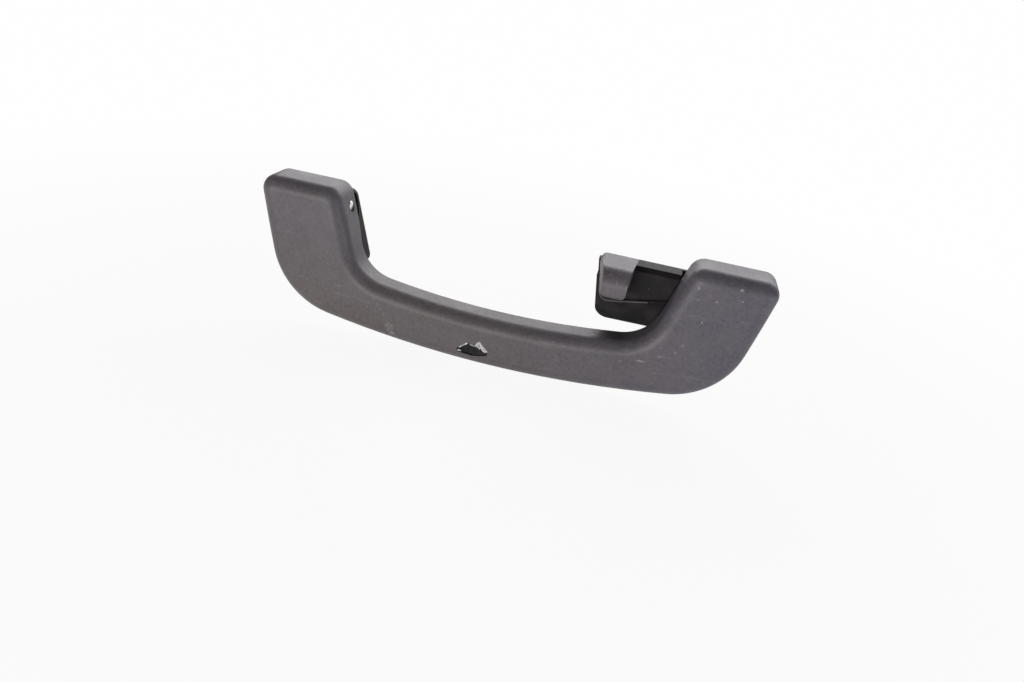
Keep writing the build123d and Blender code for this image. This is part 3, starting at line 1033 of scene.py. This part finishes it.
@dataclass
class CoatHook:
    """The painted coat hook on the right bracket.

    Attributes:
        edge: Width of its rounded edges.
        piece: The finished moulding.
    """

    edge: float = 0.8 * MM
    piece: Optional[bpy.types.Object] = field(default=None, init=False)

    def build(self) -> None:
        """Model the hook from the CAD node."""
        self.piece = Bench.cad_copy("coat_hook", "hook_moulding")
        Bench.soften(self.piece, self.edge, 4, 30.0)
        Bench.smooth(self.piece)
        Bench.hand_over(self.piece, Body.BASE, Slot.PAINT, "coat_hook")

    def dress(self, paint: bpy.types.Material) -> None:
        """Paint the hook."""
        dress(self.piece, paint)


@dataclass
class HingePins:
    """The two ground hinge pins, with broken and slightly domed ends.

    Attributes:
        chamfer: Width of the broken edge.
        inset: How far the ends lie inside their bores.
        sunk: How far the right pin's inner end lies inside.
        pieces: The finished pins.
    """

    chamfer: float = 0.5 * MM
    inset: float = 0.1 * MM
    sunk: float = 0.7 * MM
    pieces: list[bpy.types.Object] = field(default_factory=list, init=False)

    def build(self) -> None:
        """Model both pins."""
        for node in ("left_hinge_pin", "right_hinge_pin"):
            low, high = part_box(node)
            middle_y, middle_z = (low[1] + high[1]) / 2, (low[2] + high[2]) / 2
            radius = (high[2] - low[2]) / 2
            start = self.inset if low[0] < 0 else self.sunk
            ends = (low[0] + start, high[0] - self.inset)
            name = node.replace("hinge_pin", "pin")
            piece = Bench.rod(name, (ends[0], middle_y, middle_z), ends[1] - ends[0], radius)
            Bench.bevel(
                piece,
                lambda a, b: abs(a.x - b.x) < 1e-7 and min(abs(a.x - e) for e in ends) < 1e-6,
                self.chamfer,
                4,
            )
            Bench.smooth(piece)
            Bench.hand_over(piece, Body.SWING, Slot.PIN, node)
            self.pieces.append(piece)

    def dress(self, steel: bpy.types.Material) -> None:
        """Give both pins their ground steel."""
        for piece in self.pieces:
            dress(piece, steel)


@dataclass
class ReturnSpring:
    """The wound wire spring round the left pin.

    Attributes:
        wire: Radius of the wire.
        radius: Mean radius of the coil.
        pitch: Step of one turn.
        turns: Number of turns.
        middle: X of the coil's middle.
        axis: Y and Z of the coil's axis.
        leg_angle: Slope of the legs in degrees.
        back_leg: Y at which the leg on the plate ends.
        front_leg: Y at which the leg in the arm ends.
        piece: The finished spring.
    """

    wire: float = 0.78 * MM
    radius: float = 4.2 * MM
    pitch: float = 1.76 * MM
    turns: float = 4 + 300 / 360
    middle: float = -96.0 * MM
    axis: tuple[float, float] = (-14.0 * MM, 15.0 * MM)
    leg_angle: float = 30.0
    back_leg: float = -6.8 * MM
    front_leg: float = -23.5 * MM
    piece: Optional[bpy.types.Object] = field(default=None, init=False)

    def build(self) -> None:
        """Wind the wire and bend its legs."""
        steps = round(32 * self.turns)
        length = self.pitch * self.turns
        points = []
        for k in range(steps + 1):
            turn = math.radians(-90 - self.leg_angle - 360 * self.turns * k / steps)
            x = self.middle + length / 2 - length * k / steps
            y = self.axis[0] + self.radius * math.cos(turn)
            points.append(Vector((x, y, self.axis[1] + self.radius * math.sin(turn))))
        slope = math.tan(math.radians(self.leg_angle))
        first, last = points[0], points[-1]
        points.insert(0, Vector((first.x, self.back_leg, first.z - slope * (self.back_leg - first.y))))
        points.append(Vector((last.x, self.front_leg, last.z - slope * (last.y - self.front_leg))))
        self.piece = Bench.wire("wound_spring", points, self.wire)
        Bench.smooth(self.piece, 50.0)
        Bench.hand_over(self.piece, Body.BASE, Slot.SPRING, "return_spring")

    def dress(self, steel: bpy.types.Material) -> None:
        """Give the wire its oiled steel."""
        dress(self.piece, steel)


@dataclass(frozen=True)
class SmallPart:
    """One small part that is copied from its CAD node and has its edges broken.

    Attributes:
        node: CAD node.
        body: Body it rides on.
        slot: Material slot.
        edge: Width of the broken edges.
        segments: Faces across them.
    """

    node: str
    body: Body
    slot: Slot
    edge: float
    segments: int = 2

    def build(self) -> bpy.types.Object:
        """Model the part and hand it over."""
        piece = Bench.cad_copy(self.node, self.node + "_finished")
        Bench.soften(piece, self.edge, self.segments, 40.0)
        Bench.smooth(piece)
        Bench.hand_over(piece, self.body, self.slot, self.node)
        return piece


SMALL_PARTS: tuple[SmallPart, ...] = (
    SmallPart("left_sleeve", Body.BASE, Slot.SLEEVE, 0.25 * MM),
    SmallPart("right_sleeve", Body.BASE, Slot.SLEEVE, 0.25 * MM),
    SmallPart("hook_screw", Body.BASE, Slot.SLEEVE, 0.2 * MM),
    SmallPart("damper_housing", Body.BASE, Slot.DAMPER, 0.3 * MM),
    SmallPart("damper_end_ring", Body.BASE, Slot.DAMPER, 0.2 * MM),
    SmallPart("damper_rotor", Body.SWING, Slot.DAMPER, 0.15 * MM),
    SmallPart("left_inner_bump_stop", Body.BASE, Slot.RUBBER, 0.6 * MM, 3),
    SmallPart("left_outer_bump_stop", Body.BASE, Slot.RUBBER, 0.6 * MM, 3),
    SmallPart("right_inner_bump_stop", Body.BASE, Slot.RUBBER, 0.6 * MM, 3),
    SmallPart("right_outer_bump_stop", Body.BASE, Slot.RUBBER, 0.6 * MM, 3),
)


@dataclass(frozen=True)
class Studio:
    """Floor, soft lights, white surroundings and the camera.

    Attributes:
        azimuth: Camera turn to the right, in degrees.
        elevation: Camera height, in degrees.
        roll: Camera roll, in degrees.
        aim: Point on the handle that the distance is measured to.
        aim_pixel: Where that point lies in the picture.
        distance: Distance from the aim along the view.
        focal_pixels: Focal length in pixels.
        picture: Picture size in pixels.
    """

    azimuth: float = 8.09183
    elevation: float = 26.0
    roll: float = 9.83453
    aim: Place = (0.0, -22.5, -5.0)
    aim_pixel: tuple[float, float] = (502.339, 288.279)
    distance: float = 354.613
    focal_pixels: float = 771.12
    picture: tuple[int, int] = (1024, 682)

    def camera(self) -> None:
        """Set up the camera at the photograph's viewpoint."""
        turn, rise, roll = (math.radians(a) for a in (self.azimuth, self.elevation, self.roll))
        back = Vector((math.sin(turn) * math.cos(rise), -math.cos(turn) * math.cos(rise), math.sin(rise)))
        level = Vector((math.cos(turn), math.sin(turn), 0.0))
        upright = back.cross(level)
        right = math.cos(roll) * level + math.sin(roll) * upright
        up = math.cos(roll) * upright - math.sin(roll) * level
        per_pixel = self.distance / self.focal_pixels
        across = (self.aim_pixel[0] - self.picture[0] / 2) * per_pixel
        down = (self.aim_pixel[1] - self.picture[1] / 2) * per_pixel
        place = (Vector(self.aim) + self.distance * back - across * right + down * up) * MM
        data = bpy.data.cameras.new("camera")
        data.sensor_width = 36.0
        data.lens = self.focal_pixels * data.sensor_width / self.picture[0]
        data.clip_start = 0.01
        camera = bpy.data.objects.new("camera", data)
        bpy.context.scene.collection.objects.link(camera)
        axes = Matrix((right, up, back)).transposed()
        camera.matrix_world = Matrix.Translation(place) @ axes.to_4x4()
        bpy.context.scene.camera = camera

    def floor(self) -> None:
        """Lay a pale floor that keeps the object's shadow."""
        Bench.clear()
        bpy.ops.mesh.primitive_plane_add(size=400.0, location=(0, 0, CAD_BOX[0][2] - 0.3 * MM))
        floor = bpy.context.object
        floor.name = "floor"
        paper = bpy.data.materials.new("white_paper")
        paper.use_nodes = True
        graph = Graph(paper.node_tree)
        shader = paper.node_tree.nodes["Principled BSDF"]
        shader.inputs["Base Color"].default_value = (0.78, 0.76, 0.755, 1.0)
        shader.inputs["Roughness"].default_value = 0.9
        glow = graph.add("Emission", Color=(1.0, 0.995, 0.995, 1.0), Strength=1.0)
        path = graph.add("LightPath")
        seen = graph.math("MAXIMUM", path.outputs["Is Camera Ray"], path.outputs["Is Glossy Ray"])
        away = graph.vector("LENGTH", graph.add("TexCoord").outputs["Object"], (0, 0, 0))
        share = graph.math("MULTIPLY", seen, graph.span(away, 0.15, 0.5, 0.93, 1.0))
        mixed = graph.add("MixShader")
        graph.fill(mixed.inputs[0], share)
        graph.fill(mixed.inputs[1], shader.outputs["BSDF"])
        graph.fill(mixed.inputs[2], glow.outputs["Emission"])
        graph.fill(paper.node_tree.nodes["Material Output"].inputs["Surface"], mixed.outputs["Shader"])
        dress(floor, paper)

    def world(self) -> None:
        """White surroundings, dimmer for light that falls on the object."""
        world = bpy.data.worlds.new("white_room")
        bpy.context.scene.world = world
        world.use_nodes = True
        graph = Graph(world.node_tree)
        shader = world.node_tree.nodes["Background"]
        shader.inputs["Color"].default_value = (1.0, 0.995, 0.995, 1.0)
        path = graph.add("LightPath")
        graph.fill(shader.inputs["Strength"], graph.span(path.outputs["Is Camera Ray"], 0.0, 1.0, 0.12, 1.0))

    def lamp(
        self, name: str, place: Place, target: Place, size: tuple[float, float], power: float, colour: Colour
    ) -> None:
        """Add one soft rectangular lamp.

        Args:
            name: Name of the lamp.
            place: Where it hangs, in metres.
            target: Point it faces, in metres.
            size: Width and height in metres.
            power: Power in watts.
            colour: Colour of its light.
        """
        data = bpy.data.lights.new(name, "AREA")
        data.shape = "RECTANGLE"
        data.size, data.size_y = size
        data.energy = power
        data.color = colour
        lamp = bpy.data.objects.new(name, data)
        bpy.context.scene.collection.objects.link(lamp)
        lamp.location = place
        lamp.rotation_euler = (Vector(target) - Vector(place)).to_track_quat("-Z", "Y").to_euler()

    def build(self) -> None:
        """Set up the whole studio."""
        self.camera()
        self.floor()
        self.world()
        self.lamp("back_lamp", (0.1, 1.0, 0.62), (0, 0, 0), (2.0, 0.7), 17.5, (1.0, 0.98, 1.0))
        self.lamp("front_lamp", (-0.4, -1.2, 0.04), (0, 0, -0.01), (1.0, 0.16), 8.8, (1.0, 0.97, 0.97))
        self.lamp("side_lamp", (1.1, -0.5, 0.0), (0.08, 0, -0.02), (0.3, 0.12), 3.0, (0.78, 0.82, 1.0))
        bpy.context.scene.view_settings.view_transform = "Standard"


HANDLE_MARKS: tuple[RubMark, ...] = (
    RubMark((-50.6, -27.5, -35.6), (4.6, 3.0, 4.6), cover=0.45, strength=0.6),
    RubMark((-49.0, -27.3, -38.5), (3.0, 3.0, 1.6), cover=0.5, strength=0.6),
    RubMark((-59.4, -27.5, -23.2), (1.0, 2.0, 1.2), cover=0.52, strength=0.22),
    RubMark((-57.6, -27.5, -25.3), (1.0, 2.0, 1.3), cover=0.52, strength=0.22),
    RubMark((-55.8, -27.5, -27.4), (1.0, 2.0, 1.3), cover=0.52, strength=0.22),
    RubMark((-53.9, -27.5, -29.6), (1.1, 2.0, 1.3), cover=0.52, strength=0.22),
    RubMark((59.8, -27.5, -24.9), (1.9, 2.0, 0.7)),
    RubMark((68.5, -27.5, -22.6), (4.6, 2.0, 1.2), cover=0.52),
    RubMark((76.7, -27.5, -18.3), (2.6, 2.0, 1.0)),
    RubMark((82.6, -27.5, -14.5), (1.6, 2.0, 1.4)),
    RubMark((85.1, -27.5, -10.5), (1.6, 2.0, 1.4)),
    RubMark((85.1, -27.3, 17.4), (0.8, 2.0, 1.6), cover=0.56),
    RubMark((102.6, -26.6, 20.5), (1.7, 3.0, 1.2), cover=0.56),
    RubMark((93.8, -27.5, 13.1), (0.8, 2.0, 0.8), cover=0.56),
    RubMark((90.3, -27.5, 2.2), (0.6, 2.0, 1.0), cover=0.56),
    RubMark((104.2, -27.5, 15.7), (0.9, 2.0, 0.7), cover=0.56),
)


def main() -> None:
    """Build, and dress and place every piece."""
    logging.basicConfig(level=logging.INFO, format="%(message)s")
    shared = SharedEffects()
    handle = Handle()
    handle.build()
    torn = MouldedFinish((0.02, 0.022, 0.02), 0.7, 1800.0, 0.25, 0.1, shine=0.25, mottle=0.9)
    handle.dress(
        PaintFinish(marks=HANDLE_MARKS).material("charcoal_paint", shared),
        torn.material("torn_plastic", shared),
        # Near-white skin: the torn flakes are pale, and on the lifted top-left flap the white is a painted
        # highlight.
        MouldedFinish((0.82, 0.81, 0.8), 0.6, 1500.0, 0.15, 0.0, 0.5, 0.6).material("lifted_skin_and_highlight", shared),
    )
    brackets = HingeBrackets()
    brackets.build()
    brackets.dress(
        MouldedFinish((0.0115, 0.01, 0.0105), 0.62, shine=0.24).material("black_plastic", shared),
        # Lighter grey for the tray bead: a painted highlight along the tray's bevel edge.
        MouldedFinish((0.11, 0.105, 0.105), 0.4).material("painted_edge_highlight", shared),
    )
    hook = CoatHook()
    hook.build()
    hook.dress(PaintFinish(streak=0.14).material("hook_paint", shared))
    pins = HingePins()
    pins.build()
    pins.dress(SteelFinish((0.74, 0.73, 0.72), 0.24).material("ground_steel", shared))
    spring = ReturnSpring()
    spring.build()
    spring.dress(SteelFinish((0.38, 0.38, 0.39), 0.36).material("oiled_wire", shared))
    acetal = MouldedFinish((0.62, 0.6, 0.54), 0.42, 900.0, 0.04, 0.03)
    rubber = MouldedFinish((0.02, 0.02, 0.02), 0.7, 1200.0, 0.08, 0.12)
    finishes = {
        Slot.DAMPER: acetal.material("natural_acetal", shared),
        Slot.SLEEVE: SteelFinish((0.6, 0.6, 0.6), 0.34).material("zinc_plate", shared),
        Slot.RUBBER: rubber.material("black_rubber", shared),
    }
    for part in SMALL_PARTS:
        dress(part.build(), finishes[part.slot])
    Studio().build()


if __name__ == "__main__":
    main()
